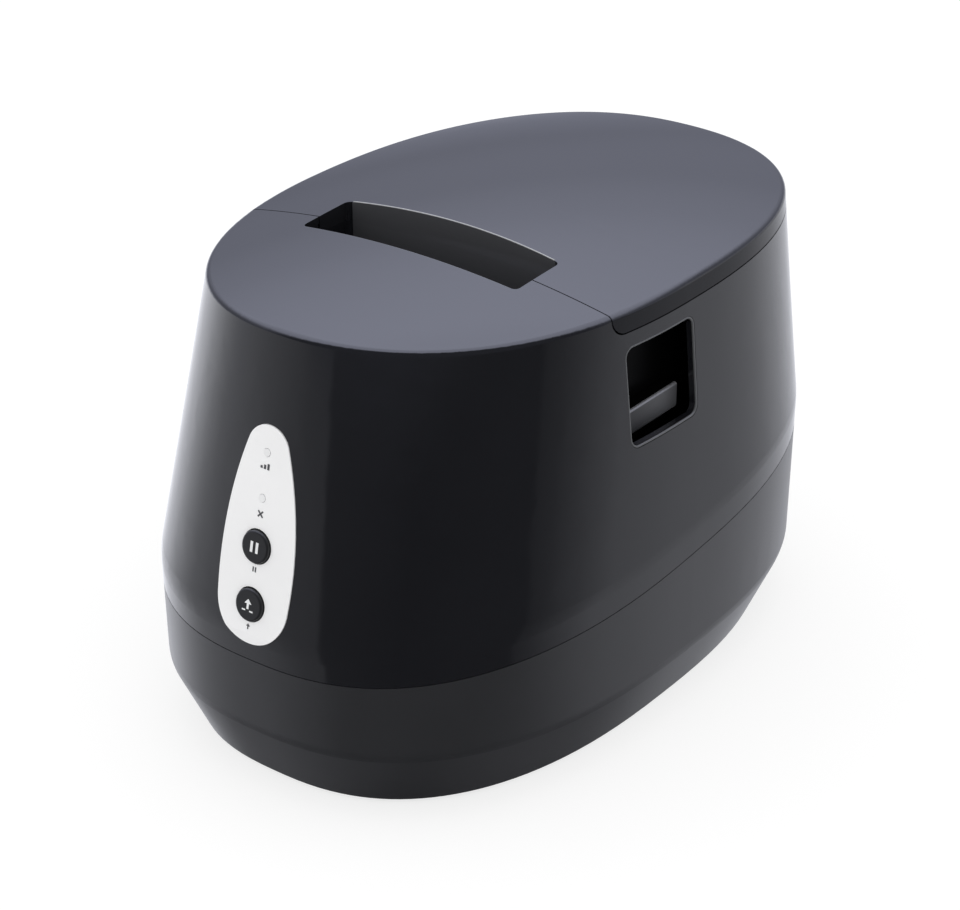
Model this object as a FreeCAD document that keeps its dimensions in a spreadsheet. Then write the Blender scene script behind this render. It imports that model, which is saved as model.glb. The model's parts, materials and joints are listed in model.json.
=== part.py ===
"""Desktop thermal receipt printer: shell, lid with platen, feed drive, release levers, roll guides."""
import FreeCAD
import Part
import math
import os
import re

from FreeCAD import Vector

doc = FreeCAD.newDocument("receipt_printer")

# Driving dimensions in millimetres, degrees or plain counts.
DIMENSIONS = [
    ("body_length", 238.0),
    ("body_width", 160.4),
    ("top_width", 145.0),
    ("top_front_reach", 99.0),
    ("top_rear_reach", 114.8),
    ("base_inset", 9.4),
    ("crease_inset", 0.55),
    ("foot_height", 2.0),
    ("foot_across", 44.0),
    ("foot_along", 70.0),
    ("crease_height", 20.6),
    ("belt_height", 64.5),
    ("belt_slope", 0.085),
    ("edge_height", 145.3),
    ("crown_height", 7.2),
    ("top_front_power", 2.19),
    ("top_rear_power", 2.49),
    ("side_front_power", 2.51),
    ("side_rear_power", 2.59),
    ("seam_drop", 9.4),
    ("shell_wall", 2.5),
    ("seam_gap", 0.3),
    ("lid_gap", 0.4),
    ("split_setback", 34.0),
    ("skirt_height", 7.2),
    ("slot_half_width", 41.0),
    ("slot_front", 42.0),
    ("slot_rear", 20.0),
    ("slot_bow", 2.4),
    ("slot_wall", 2.2),
    ("window_front", 29.0),
    ("window_rear", 3.2),
    ("window_low", 102.0),
    ("window_high", 133.0),
    ("panel_low", 64.5),
    ("panel_high", 109.6),
    ("panel_low_radius", 13.5),
    ("panel_high_radius", 8.0),
    ("panel_shoulder", 0.33),
    ("panel_hip", 0.1),
    ("panel_swell", 0.055),
    ("panel_proud", 0.3),
    ("panel_thick", 1.2),
    ("button_radius", 5.1),
    ("lamp_high", 109.5),
    ("lamp_low", 95.8),
    ("pause_height", 81.1),
    ("feed_height", 63.3),
    ("button_travel", 0.8),
    ("running_fit", 0.05),
    ("loose_fit", 0.4),
    ("platen_setback", 17.0),
    ("platen_height", 118.0),
    ("platen_radius", 7.0),
    ("platen_half", 41.0),
    ("shaft_radius", 3.0),
    ("gear_module", 0.75),
    ("platen_teeth", 20.0),
    ("idler_teeth", 32.0),
    ("pinion_teeth", 14.0),
    ("gear_width", 4.5),
    ("gear_backlash", 0.12),
    ("plate_inner", 47.0),
    ("plate_thick", 1.5),
    ("motor_radius", 14.0),
    ("motor_depth", 23.9),
    ("tub_centre", 42.0),
    ("tub_height", 74.0),
    ("tub_radius", 53.0),
    ("tub_wall", 2.0),
    ("tub_half", 43.5),
    ("guide_thick", 2.4),
    ("rack_module", 1.0),
    ("rack_teeth", 16.0),
    ("guide_travel", 26.0),
    ("hinge_radius", 2.6),
    ("hinge_pin_radius", 1.0),
    ("lever_inner", 62.0),
    ("lever_thick", 3.0),
    ("lever_pivot_height", 80.0),
    ("board_thick", 1.6),
    ("board_setback", 15.0),
    ("screw_radius", 1.5),
    ("post_across", 58.0),
    ("post_along", 62.0),
]
sheet = doc.addObject("Spreadsheet::Sheet", "dims")
for row, (alias, number) in enumerate(DIMENSIONS, start=1):
    sheet.set("A%d" % row, alias)
    sheet.set("B%d" % row, repr(number))
    sheet.setAlias("B%d" % row, alias)
doc.recompute()
ALIASES = {alias for alias, _ in DIMENSIONS}


def dim(alias):
    return float(sheet.get(alias))


def bound(text):
    """Expression text with every dimension name pointed at the sheet."""
    def point(match):
        word = match.group(0)
        return "dims." + word if word in ALIASES else word
    return re.sub(r"[a-z_]+", point, text)


nodes = []


def keep(obj, label):
    obj.Label = label
    nodes.append(obj)
    return obj


def place(obj, x, y, z):
    for axis, text in (("x", x), ("y", y), ("z", z)):
        obj.setExpression("Placement.Base." + axis, bound(text))


def box(label, x0, x1, y0, y1, z0, z1):
    """Block between two corners; heights are measured from the floor."""
    obj = doc.addObject("Part::Box", "box")
    obj.Label = label
    obj.setExpression("Length", bound("(%s) - (%s)" % (x1, x0)))
    obj.setExpression("Width", bound("(%s) - (%s)" % (y1, y0)))
    obj.setExpression("Height", bound("(%s) - (%s)" % (z1, z0)))
    place(obj, x0, y0, z0)
    return obj


TURN = {
    "x": FreeCAD.Rotation(Vector(0, 1, 0), 90),
    "y": FreeCAD.Rotation(Vector(1, 0, 0), -90),
    "z": FreeCAD.Rotation(),
}


def rod(label, axis, x, y, z, radius, length):
    """Cylinder starting at a point and running along +axis."""
    obj = doc.addObject("Part::Cylinder", "rod")
    obj.Label = label
    obj.Placement.Rotation = TURN[axis]
    obj.setExpression("Radius", bound(radius))
    obj.setExpression("Height", bound(length))
    place(obj, x, y, z)
    return obj


def fuse(label, parts):
    obj = doc.addObject("Part::MultiFuse", "fuse")
    obj.Label = label
    obj.Shapes = parts
    return obj


def cut(label, base, tools):
    tool = tools[0] if len(tools) == 1 else fuse(label + "_tools", tools)
    obj = doc.addObject("Part::Cut", "cut")
    obj.Label = label
    obj.Base = base
    obj.Tool = tool
    return obj


def group(label, parts):
    obj = doc.addObject("Part::Compound", "group")
    obj.Label = label
    obj.Links = parts
    return obj


def shaped(label, shape):
    obj = doc.addObject("Part::Feature", "shaped")
    obj.Label = label
    obj.Shape = shape
    return obj


# Derived positions shared by the shell pieces.
FLOOR = dim("foot_height")
WALL = dim("shell_wall")
EDGE_Z = FLOOR + dim("edge_height")
BELT_Z = FLOOR + dim("belt_height")
SLOPE = dim("belt_slope")
SEAM_Z = BELT_Z - dim("seam_drop")
SKIRT_Z = EDGE_Z - dim("skirt_height")
SPLIT_Y = -dim("split_setback")
HALF_LENGTH = dim("body_length") / 2
HALF_WIDTH = dim("body_width") / 2
LID_CORNER_R = 5.0
FAR = 200.0


def oval(half_x, front, rear, n_front, n_rear, height, slope=0.0, count=72):
    """Points of an egg-shaped ring whose ends have their own squareness."""
    points = []
    for step in range(count):
        turn = 2 * math.pi * step / count
        c = math.cos(turn)
        s = math.sin(turn)
        power = n_front if s < 0 else n_rear
        reach = front if s < 0 else rear
        radius = (abs(c / half_x) ** power + abs(s / reach) ** power) ** (-1 / power)
        points.append(Vector(radius * c, radius * s, height + slope * radius * s))
    return points


def ring(points):
    curve = Part.BSplineCurve()
    curve.interpolate(Points=points, PeriodicFlag=True)
    return Part.Wire([curve.toShape()])


def hull(offset, lift=0.0):
    """Ruled body of the printer, grown or shrunk sideways by offset, its underside raised by lift."""
    top = oval(dim("top_width") / 2 + offset, dim("top_front_reach") + offset, dim("top_rear_reach") + offset,
               dim("top_front_power"), dim("top_rear_power"), EDGE_Z)
    side_powers = (dim("side_front_power"), dim("side_rear_power"))
    belt = oval(HALF_WIDTH + offset, HALF_LENGTH + offset, HALF_LENGTH + offset, *side_powers, BELT_Z, SLOPE)
    inset = dim("crease_inset") - offset
    crease = oval(HALF_WIDTH - inset, HALF_LENGTH - inset, HALF_LENGTH - inset, *side_powers,
                  FLOOR + dim("crease_height"))
    draw_in = (dim("base_inset") - dim("crease_inset")) / dim("crease_height")
    below = 3.0
    inset = dim("base_inset") - offset + draw_in * (below - lift)
    foot = oval(HALF_WIDTH - inset, HALF_LENGTH - inset, HALF_LENGTH - inset, *side_powers,
                FLOOR + lift - below)
    above = [t + (t - b) * 0.2 for t, b in zip(top, belt)]
    flat = max(p.z for p in above)
    above = [Vector(p.x, p.y, flat) for p in above]
    loft = Part.makeLoft([ring(foot), ring(crease), ring(belt), ring(top), ring(above)], True, True)
    kept = Part.makeBox(2 * FAR, 2 * FAR, flat - FLOOR - lift - 0.5, Vector(-FAR, -FAR, FLOOR + lift))
    return loft.common(kept).Solids[0]


def dome(drop):
    """Large ellipsoid whose cap is the crowned top, lowered by drop."""
    depth = 200.0
    ratio = math.sqrt(depth / (2 * dim("crown_height")))
    reach = (dim("top_front_reach") + dim("top_rear_reach")) / 2
    middle = (dim("top_rear_reach") - dim("top_front_reach")) / 2
    grow = FreeCAD.Matrix()
    grow.scale(dim("top_width") / 2 * ratio, reach * ratio, depth)
    shape = Part.makeSphere(1.0).transformGeometry(grow)
    shape.translate(Vector(0, middle, EDGE_Z + dim("crown_height") - depth - drop))
    return shape


def side_prism(outline, x0, x1):
    """Region drawn in the side view and run across the width."""
    wire = Part.makePolygon([Vector(x0, y, z) for y, z in outline + outline[:1]])
    return Part.Face(wire).extrude(Vector(x1 - x0, 0, 0))


def seam_side(shift, upward):
    """Half space on one side of the sloping seam."""
    end = FAR if upward else -FAR
    outline = [(-FAR, SEAM_Z - SLOPE * FAR + shift), (FAR, SEAM_Z + SLOPE * FAR + shift),
               (FAR, SEAM_Z + end), (-FAR, SEAM_Z + end)]
    return side_prism(outline, -FAR, FAR)


def lid_region(gap):
    """Side-view region of the lid with its rounded lower front corner."""
    block = Part.makeBox(2 * FAR, FAR, FAR, Vector(-FAR, SPLIT_Y + gap, SKIRT_Z + gap))
    corner = [e for e in block.Edges
              if abs(e.CenterOfMass.y - SPLIT_Y - gap) < 0.01
              and abs(e.CenterOfMass.z - SKIRT_Z - gap) < 0.01]
    return block.makeFillet(LID_CORNER_R, corner)


def slot_region(grow, low):
    """Paper slot: upright walls, straight front and ends, and a rear edge bowed towards the back."""
    half = dim("slot_half_width") + grow
    front = -dim("slot_front") - grow
    rear = -dim("slot_rear") + grow
    height = EDGE_Z + 20 - low
    plan = [(-half, rear), (-half, front), (half, front), (half, rear)]
    corners = [Vector(x, y, low) for x, y in plan]
    edges = [Part.makeLine(start, end) for start, end in zip(corners, corners[1:])]
    middle = Vector(0, rear + dim("slot_bow"), low)
    edges.append(Part.Arc(corners[-1], middle, corners[0]).toShape())
    solid = Part.Face(Part.Wire(edges)).extrude(Vector(0, 0, height))
    upright = [e for e in solid.Edges if abs(e.BoundBox.ZLength - height) < 0.01]
    return solid.makeFillet(2.0 + grow, upright)


def rounded_window(grow, side):
    """Finger window through a side wall, square with rounded corners."""
    y0 = -dim("window_front") - grow
    y1 = dim("window_rear") + grow
    z0 = FLOOR + dim("window_low") - grow
    z1 = FLOOR + dim("window_high") + grow
    block = Part.makeBox(40, y1 - y0, z1 - z0, Vector(dim("lever_inner") + 4, y0, z0))
    lengthwise = [e for e in block.Edges if abs(e.BoundBox.XLength - 40) < 0.01]
    block = block.makeFillet(3.0 + grow, lengthwise)
    return block if side > 0 else block.mirror(Vector(), Vector(1, 0, 0))


def panel_region(grow):
    """Egg outline of the control panel, slim end up, run backwards through the front wall."""
    low = FLOOR + dim("panel_low")
    high = FLOOR + dim("panel_high")
    r_low = dim("panel_low_radius") + grow
    r_high = dim("panel_high_radius") + grow
    top_x = r_high * math.cos(dim("panel_shoulder"))
    top_z = high + r_high * math.sin(dim("panel_shoulder"))
    low_x = r_low * math.cos(dim("panel_hip"))
    low_z = low - r_low * math.sin(dim("panel_hip"))
    side_x = (top_x + low_x) / 2 + dim("panel_swell") * (top_z - low_z)
    side_z = (top_z + low_z) / 2
    around = [(top_x, top_z), (0, high + r_high), (-top_x, top_z), (-side_x, side_z),
              (-low_x, low_z), (0, low - r_low), (low_x, low_z), (side_x, side_z), (top_x, top_z)]
    points = [Vector(x, -HALF_LENGTH - 20, z) for x, z in around]
    edges = [Part.Arc(*points[n:n + 3]).toShape() for n in (0, 2, 4, 6)]
    return Part.Face(Part.Wire(edges)).extrude(Vector(0, 60, 0))


def near(edge, test):
    first = edge.FirstParameter
    span = edge.LastParameter - first
    return all(test(edge.valueAt(first + span * part)) for part in (0.07, 0.3, 0.5, 0.71, 0.93))


def soften(shape, radius, test):
    """Round the edges picked by a test on their points."""
    edges = [e for e in shape.Edges if near(e, test)]
    return shape.makeFillet(radius, edges)


outer = hull(0.0)
outer = soften(outer, 25.0, lambda p: abs(p.z - BELT_Z - SLOPE * p.y) < 0.02)
outer = soften(outer, 8.0, lambda p: abs(p.z - FLOOR - dim("crease_height")) < 0.02)
top_cap = dome(0.0)
outer = outer.common(top_cap).Solids[0]
outer = soften(outer, 2.0, lambda p: p.z > EDGE_Z - 4 and p.z < EDGE_Z + 3)
inner = hull(-WALL, WALL).common(dome(WALL)).Solids[0]
shell = outer.cut(inner)
deck_space = outer.common(dome(0.6))
wall_core = hull(-1.2, 1.0)

# Front wall line at mid width: a point at each height and the outward direction.
LEAN = math.atan2(HALF_LENGTH - dim("top_front_reach"), EDGE_Z - BELT_Z + SLOPE * HALF_LENGTH)
FRONT_OUT = Vector(0, -math.cos(LEAN), math.sin(LEAN))


def front_point(height):
    foot = BELT_Z - SLOPE * HALF_LENGTH
    return Vector(0, -HALF_LENGTH + (height - foot) * math.tan(LEAN), height)


def front_rod(height, start, end, radius):
    """Round bar square to the front wall, from depth start to depth end behind its face."""
    return Part.makeCylinder(radius, end - start, front_point(height) - FRONT_OUT * start, FRONT_OUT * -1)


PAUSE_Z = FLOOR + dim("pause_height")
FEED_Z = FLOOR + dim("feed_height")
BUTTON_R = dim("button_radius")
LAMP_Z = [FLOOR + dim("lamp_high"), FLOOR + dim("lamp_low")]
LAMP_R = 1.2
PROUD = dim("panel_proud")
PANEL_DEEP = dim("panel_thick") - PROUD

# Platen, hinge, levers and posts that the shell pieces are shaped around.
PLATEN = Vector(0, -dim("platen_setback"), FLOOR + dim("platen_height"))
HINGE = Vector(0, HALF_LENGTH - dim("hinge_radius"), SKIRT_Z + 0.2)
HINGE_R = dim("hinge_radius")
HINGE_BORE = dim("hinge_pin_radius") + dim("running_fit")
KNUCKLE_IN = 12.6
KNUCKLE_OUT = 24.0
LEVER_X = dim("lever_inner")
LEVER_OUT = LEVER_X + dim("lever_thick")
PIVOT_Z = FLOOR + dim("lever_pivot_height")
PIVOT_X = LEVER_OUT + 1.0
PIN_R = 1.5
LEVER_Y0 = -dim("window_front") - 1
LEVER_Y1 = dim("window_rear") + 1.8
POST_X = dim("post_across")
POST_Y = dim("post_along")
POST_R = 4.5
POST_LOW = FLOOR + 10.4


def x_rod(x0, x1, y, z, radius):
    return Part.makeCylinder(radius, x1 - x0, Vector(x0, y, z), Vector(1, 0, 0))


def block(x0, x1, y0, y1, z0, z1):
    return Part.makeBox(x1 - x0, y1 - y0, z1 - z0, Vector(x0, y0, z0))


def both_sides(shape):
    return [shape, shape.mirror(Vector(), Vector(1, 0, 0))]


# Upper casing: wall and deck above the seam, opened for lid, slot, windows, panel and buttons.
casing = shell.common(seam_side(dim("seam_gap") / 2, True)).cut(lid_region(0.0))
rim = slot_region(dim("slot_wall"), SKIRT_Z - 4).cut(slot_region(0.0, SKIRT_Z - 10))
deck_rim = rim.common(block(-FAR, FAR, -FAR, SPLIT_Y - dim("lid_gap"), 0, FAR)).common(deck_space)
casing = casing.fuse(deck_rim).cut(slot_region(0.0, SKIRT_Z - 10))
ears = []
for y0, y1 in ((LEVER_Y0 - 2.4, LEVER_Y0 - 0.4), (LEVER_Y1 + 0.4, LEVER_Y1 + 2.4)):
    ear = block(PIVOT_X - 3.5, HALF_WIDTH + 5, y0, y1, PIVOT_Z - 4, PIVOT_Z + 4)
    bore = Part.makeCylinder(PIN_R + 0.02, 8, Vector(PIVOT_X, y0 - 2, PIVOT_Z), Vector(0, 1, 0))
    ears += both_sides(ear.cut(bore).common(wall_core))
for y in (-POST_Y, POST_Y):
    post = Part.makeCylinder(POST_R, BELT_Z + 10 - POST_LOW, Vector(POST_X, y, POST_LOW))
    pilot = Part.makeCylinder(dim("screw_radius") + 0.03, 12, Vector(POST_X, y, POST_LOW - 1))
    rib = block(POST_X, HALF_WIDTH + 5, y - 1.5, y + 1.5, BELT_Z - 1.5, BELT_Z + 10)
    ears += both_sides(post.fuse(rib.common(wall_core)).cut(pilot))
for ear in ears:
    casing = casing.fuse(ear)
casing = casing.cut([rounded_window(0.0, 1), rounded_window(0.0, -1)])
window_skin = hull(-0.7)
for side in (-1, 1):
    casing = casing.cut(rounded_window(0.8, side).cut(window_skin))
casing = casing.cut(panel_region(0.15).cut(hull(-PANEL_DEEP - 0.05)))
for z in (PAUSE_Z, FEED_Z):
    casing = casing.cut(front_rod(z, -3, WALL + 3, BUTTON_R + 0.35))
for z in LAMP_Z:
    casing = casing.cut(front_rod(z, -3, WALL + 3, LAMP_R + 0.2))
for sign in (-1, 1):
    x0, x1 = sorted((sign * (KNUCKLE_IN + 0.4), sign * KNUCKLE_OUT))
    web = block(x0, x1, HALF_LENGTH - 8.5, HINGE.y, SKIRT_Z - 5, SKIRT_Z - 0.2)
    casing = casing.fuse([x_rod(x0, x1, HINGE.y, HINGE.z, HINGE_R), web])
casing = casing.cut(x_rod(-KNUCKLE_IN - 0.4, KNUCKLE_IN + 0.4, HINGE.y, HINGE.z, HINGE_R + 0.5))
casing = casing.cut(x_rod(-KNUCKLE_OUT - 5, KNUCKLE_OUT + 5, HINGE.y, HINGE.z, HINGE_BORE))
keep(shaped("main_casing", max(casing.Solids, key=lambda s: s.Volume)), "main_casing")

# Base tray below the seam.
base = shell.common(seam_side(-dim("seam_gap") / 2, False))
adds = []
for x in (-POST_X, POST_X):
    for y in (-POST_Y, POST_Y):
        adds.append(Part.makeCylinder(POST_R, POST_LOW - FLOOR - 1.4, Vector(x, y, FLOOR + 1)))
FRAME_LOW = PLATEN.z - 52.0
for x in (-42.0, 34.0):
    for y in (-50.0, -26.0):
        adds.append(block(x, x + 8, y, y + 8, FLOOR + 1, FRAME_LOW))
for x in (-38.0, 30.0):
    for y in (dim("tub_centre") - 30, dim("tub_centre") + 22):
        column = block(x, x + 8, y, y + 8, FLOOR + 1, FLOOR + dim("tub_height"))
        hollow = x_rod(x - 1, x + 9, dim("tub_centre"), FLOOR + dim("tub_height"),
                       dim("tub_radius") + dim("tub_wall"))
        adds.append(column.cut(hollow))
base = base.fuse(adds)
SCREW_R = dim("screw_radius")
for x in (-POST_X, POST_X):
    for y in (-POST_Y, POST_Y):
        base = base.cut(Part.makeCylinder(SCREW_R + 0.2, 20, Vector(x, y, FLOOR - 1)))
        base = base.cut(Part.makeCylinder(3.3, 2.4, Vector(x, y, FLOOR - 0.4)))
FOOT_X = dim("foot_across")
FOOT_Y = dim("foot_along")
for x in (-FOOT_X, FOOT_X):
    for y in (-FOOT_Y, FOOT_Y):
        base = base.cut(Part.makeCylinder(7.2, 1.6, Vector(x, y, FLOOR - 1)))
PORT_LOW = FLOOR + 22
for x0, x1 in ((-30.4, -19.6), (-6.4, 6.4), (18.1, 31.9)):
    high = PORT_LOW + (17.4 if x0 > 10 else 11.4)
    base = base.cut(block(x0, x1, HALF_LENGTH - 16, HALF_LENGTH + 5, PORT_LOW - 0.4, high))
keep(shaped("base_shell", max(base.Solids, key=lambda s: s.Volume)), "base_shell")

# Lid: crowned plate with a skirt, slot rim, screw posts and hinge knuckle.
lid_skin = hull(-2.2, WALL).common(dome(WALL))
lid = outer.common(lid_region(dim("lid_gap"))).cut(lid_skin)
lid_rim = slot_region(dim("slot_wall"), SKIRT_Z - 9).cut(slot_region(0.0, SKIRT_Z - 12))
lid_rim = lid_rim.common(block(-FAR, FAR, SPLIT_Y + dim("lid_gap"), FAR, 0, FAR)).common(deck_space)
CARRIER_Z = SKIRT_Z + 3.0
lid_posts = [block(x, x + 8, PLATEN.y + 4, PLATEN.y + 10, CARRIER_Z, EDGE_Z + 20).common(deck_space)
             for x in (-38.0, 30.0)]
lid = lid.fuse([lid_rim] + lid_posts).cut(slot_region(0.0, SKIRT_Z - 12))
knuckle = x_rod(-KNUCKLE_IN, KNUCKLE_IN, HINGE.y, HINGE.z, HINGE_R)
knuckle_web = block(-KNUCKLE_IN, KNUCKLE_IN, HALF_LENGTH - 6.5, HINGE.y, SKIRT_Z + 0.6, SKIRT_Z + 2.8)
knuckle = knuckle.fuse(knuckle_web)
lid = lid.fuse(knuckle)
for sign in (-1, 1):
    x0, x1 = sorted((sign * KNUCKLE_IN, sign * (KNUCKLE_OUT + 0.5)))
    lid = lid.cut(x_rod(x0, x1, HINGE.y, HINGE.z, HINGE_R + 0.5))
lid = lid.cut(x_rod(-KNUCKLE_OUT, KNUCKLE_OUT, HINGE.y, HINGE.z, HINGE_BORE))
keep(shaped("top_cover", lid.Solids[0]), "top_cover")

# Control panel set into the front wall, with holes for buttons and lamps.
panel = hull(PROUD).cut(hull(-PANEL_DEEP)).common(panel_region(0.0))
for z in (PAUSE_Z, FEED_Z):
    panel = panel.cut(front_rod(z, -6, 10, BUTTON_R + 0.35))
for z in LAMP_Z:
    panel = panel.cut(front_rod(z, -6, 10, LAMP_R + 0.1))
keep(shaped("control_panel", panel.Solids[0]), "control_panel")
lamps = [front_rod(z, -PROUD - 0.1, 5.5, LAMP_R) for z in LAMP_Z]
keep(shaped("status_lamps", Part.makeCompound(lamps)), "status_lamps")

BOARD_DEEP = WALL + 6.0


def push_button(height):
    """Slightly domed key with a thinner stem reaching back towards the board."""
    cap = front_rod(height, -PROUD - 1.1, WALL + 0.6, BUTTON_R)
    rim_edge = [e for e in cap.Edges if e.CenterOfMass.y < front_point(height).y and len(e.Vertexes) == 1
                and abs((e.CenterOfMass - front_point(height)).dot(FRONT_OUT) - PROUD - 1.1) < 0.05]
    cap = cap.makeFillet(0.7, rim_edge)
    stem = front_rod(height, WALL, BOARD_DEEP - dim("button_travel") - 0.4, 2.0)
    return cap.fuse(stem).removeSplitter()


keep(shaped("pause_button", push_button(PAUSE_Z)), "pause_button")
keep(shaped("feed_button", push_button(FEED_Z)), "feed_button")
board_low = front_point(FLOOR + dim("panel_low") - 11)
board_run = dim("panel_high") - dim("panel_low") + 10
panel_board = Part.makeBox(24, dim("board_thick"), board_run)
panel_board.rotate(Vector(), Vector(1, 0, 0), -math.degrees(LEAN))
panel_board.translate(board_low - FRONT_OUT * BOARD_DEEP + Vector(-12, 0, 0))
keep(shaped("panel_board", panel_board), "panel_board")
standoffs = [front_rod(z, WALL + 0.6, BOARD_DEEP, 1.5)
             for z in (FLOOR + dim("panel_low") - 9.2, FLOOR + dim("panel_high") - 8)]
keep(shaped("board_standoffs", Part.makeCompound(standoffs)), "board_standoffs")

# Roll tub: half pipe with upright walls, open at the top.
TUB_TOP = "foot_height + tub_height + 46"
TUB_AXIS = "foot_height + tub_height"
tub_out = fuse("paper_tub_outside", [
    rod("paper_tub_round", "x", "-tub_half - tub_wall", "tub_centre", TUB_AXIS, "tub_radius + tub_wall",
        "2 * tub_half + 2 * tub_wall"),
    box("paper_tub_upper", "-tub_half - tub_wall", "tub_half + tub_wall",
        "tub_centre - tub_radius - tub_wall", "tub_centre + tub_radius + tub_wall", TUB_AXIS, TUB_TOP)])
tub_in = [
    rod("paper_tub_hollow", "x", "-tub_half", "tub_centre", TUB_AXIS, "tub_radius", "2 * tub_half"),
    box("paper_tub_mouth", "-tub_half", "tub_half", "tub_centre - tub_radius", "tub_centre + tub_radius",
        TUB_AXIS, TUB_TOP + " + 20"),
    box("paper_tub_front_cut", "-tub_half - 9", "tub_half + 9", "tub_centre - tub_radius - 9", "2",
        TUB_AXIS + " + 26", TUB_TOP + " + 20"),
    box("paper_tub_left_slot", "-tub_half", "-tub_half + guide_travel + guide_thick + 1.2",
        "tub_centre - rack_module * rack_teeth / 2 - 4.6", "tub_centre - rack_module * rack_teeth / 2 - 0.4",
        "foot_height + 10", "foot_height + 30"),
    box("paper_tub_right_slot", "tub_half - guide_travel - guide_thick - 1.2", "tub_half",
        "tub_centre + rack_module * rack_teeth / 2 + 0.4", "tub_centre + rack_module * rack_teeth / 2 + 4.6",
        "foot_height + 10", "foot_height + 30"),
]
keep(cut("paper_tub", tub_out, tub_in), "paper_tub")


def involute(angle):
    return math.tan(angle) - angle


def gear(teeth, module, tooth_angle, width, bore, backlash):
    """Spur gear in the plane of its teeth; tooth_angle points at the middle of one tooth."""
    press = math.radians(20)
    pitch_r = module * teeth / 2
    base_r = pitch_r * math.cos(press)
    tip_r = pitch_r + 0.9 * module
    root_r = pitch_r - 1.2 * module
    half = (math.pi * module / 2 - backlash) / (2 * pitch_r)
    start_r = max(base_r, root_r + 0.02)
    flank = []
    for step in range(5):
        r = start_r + (tip_r - start_r) * step / 4
        lean = math.acos(min(1.0, base_r / r))
        flank.append((r, half + involute(press) - involute(lean)))
    points = []
    for tooth in range(int(teeth)):
        middle = tooth_angle + 2 * math.pi * tooth / teeth
        side = [(root_r, flank[0][1])] + flank
        for r, a in side:
            points.append((r, middle - a))
        for r, a in reversed(side):
            points.append((r, middle + a))
    corners = [Vector(r * math.cos(a), r * math.sin(a), 0) for r, a in points]
    face = Part.Face(Part.makePolygon(corners + corners[:1]))
    return face.extrude(Vector(0, 0, width)).cut(Part.makeCylinder(bore, width + 2, Vector(0, 0, -1)))


# Drive train on the left end: platen gear, idler and motor pinion in one plane.
MODULE = dim("gear_module")
N_PLATEN = dim("platen_teeth")
N_IDLER = dim("idler_teeth")
N_PINION = dim("pinion_teeth")
PLATE_IN = dim("plate_inner")
PLATE_OUT = PLATE_IN + dim("plate_thick")
GEAR_X1 = -PLATE_OUT - 6.0
GEAR_X0 = GEAR_X1 - dim("gear_width")
TO_IDLER = math.radians(255.2)
TO_MOTOR = math.radians(240.1)
IDLER = PLATEN + Vector(0, math.cos(TO_IDLER), math.sin(TO_IDLER)) * (MODULE * (N_PLATEN + N_IDLER) / 2)
MOTOR = IDLER + Vector(0, math.cos(TO_MOTOR), math.sin(TO_MOTOR)) * (MODULE * (N_IDLER + N_PINION) / 2)
idler_tooth = TO_IDLER + math.pi + math.pi / N_IDLER
pitch_step = 2 * math.pi / N_IDLER
offset = (idler_tooth - TO_MOTOR) % pitch_step
pinion_tooth = TO_MOTOR + math.pi - offset * N_IDLER / N_PINION + math.pi / N_PINION


def side_gear(teeth, tooth_angle, bore, centre):
    """Gear stood upright: its plane is the side view and its width runs along X."""
    shape = gear(teeth, MODULE, tooth_angle, dim("gear_width"), bore, dim("gear_backlash"))
    stand = FreeCAD.Matrix(0, 0, 1, GEAR_X0, 1, 0, 0, centre.y, 0, 1, 0, centre.z, 0, 0, 0, 1)
    return shape.transformed(stand)


FIT = dim("running_fit")
SHAFT_R = dim("shaft_radius")
IDLER_PIN_R = 2.0
MOTOR_SHAFT_R = 1.5
keep(shaped("platen_gear", side_gear(N_PLATEN, TO_IDLER, SHAFT_R + 0.02, PLATEN)), "platen_gear")
keep(shaped("idler_gear", side_gear(N_IDLER, idler_tooth, IDLER_PIN_R + FIT, IDLER)), "idler_gear")
pinion = side_gear(N_PINION, pinion_tooth, MOTOR_SHAFT_R - 0.5, MOTOR)
rotor = x_rod(GEAR_X0, -PLATE_IN + 8, MOTOR.y, MOTOR.z, MOTOR_SHAFT_R)
keep(shaped("motor_pinion", pinion.fuse(rotor).removeSplitter()), "motor_pinion")
MOTOR_R = dim("motor_radius")
motor = x_rod(-PLATE_IN + 0.1, -PLATE_IN + dim("motor_depth"), MOTOR.y, MOTOR.z, MOTOR_R)
motor = motor.fuse(x_rod(-PLATE_IN + 0.1, -PLATE_IN + 1.3, MOTOR.y, MOTOR.z, MOTOR_R + 0.8))
motor = motor.cut(x_rod(-PLATE_IN - 1, -PLATE_IN + 8.6, MOTOR.y, MOTOR.z, MOTOR_SHAFT_R + FIT))
keep(shaped("stepper_motor", motor), "stepper_motor")
idler_pin = x_rod(GEAR_X0 - 0.4, -PLATE_IN, IDLER.y, IDLER.z, IDLER_PIN_R)
idler_pin = idler_pin.fuse(x_rod(GEAR_X1 + 0.3, -PLATE_OUT, IDLER.y, IDLER.z, IDLER_PIN_R + 1.2))
keep(shaped("idler_pin", idler_pin.removeSplitter()), "idler_pin")

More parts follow.
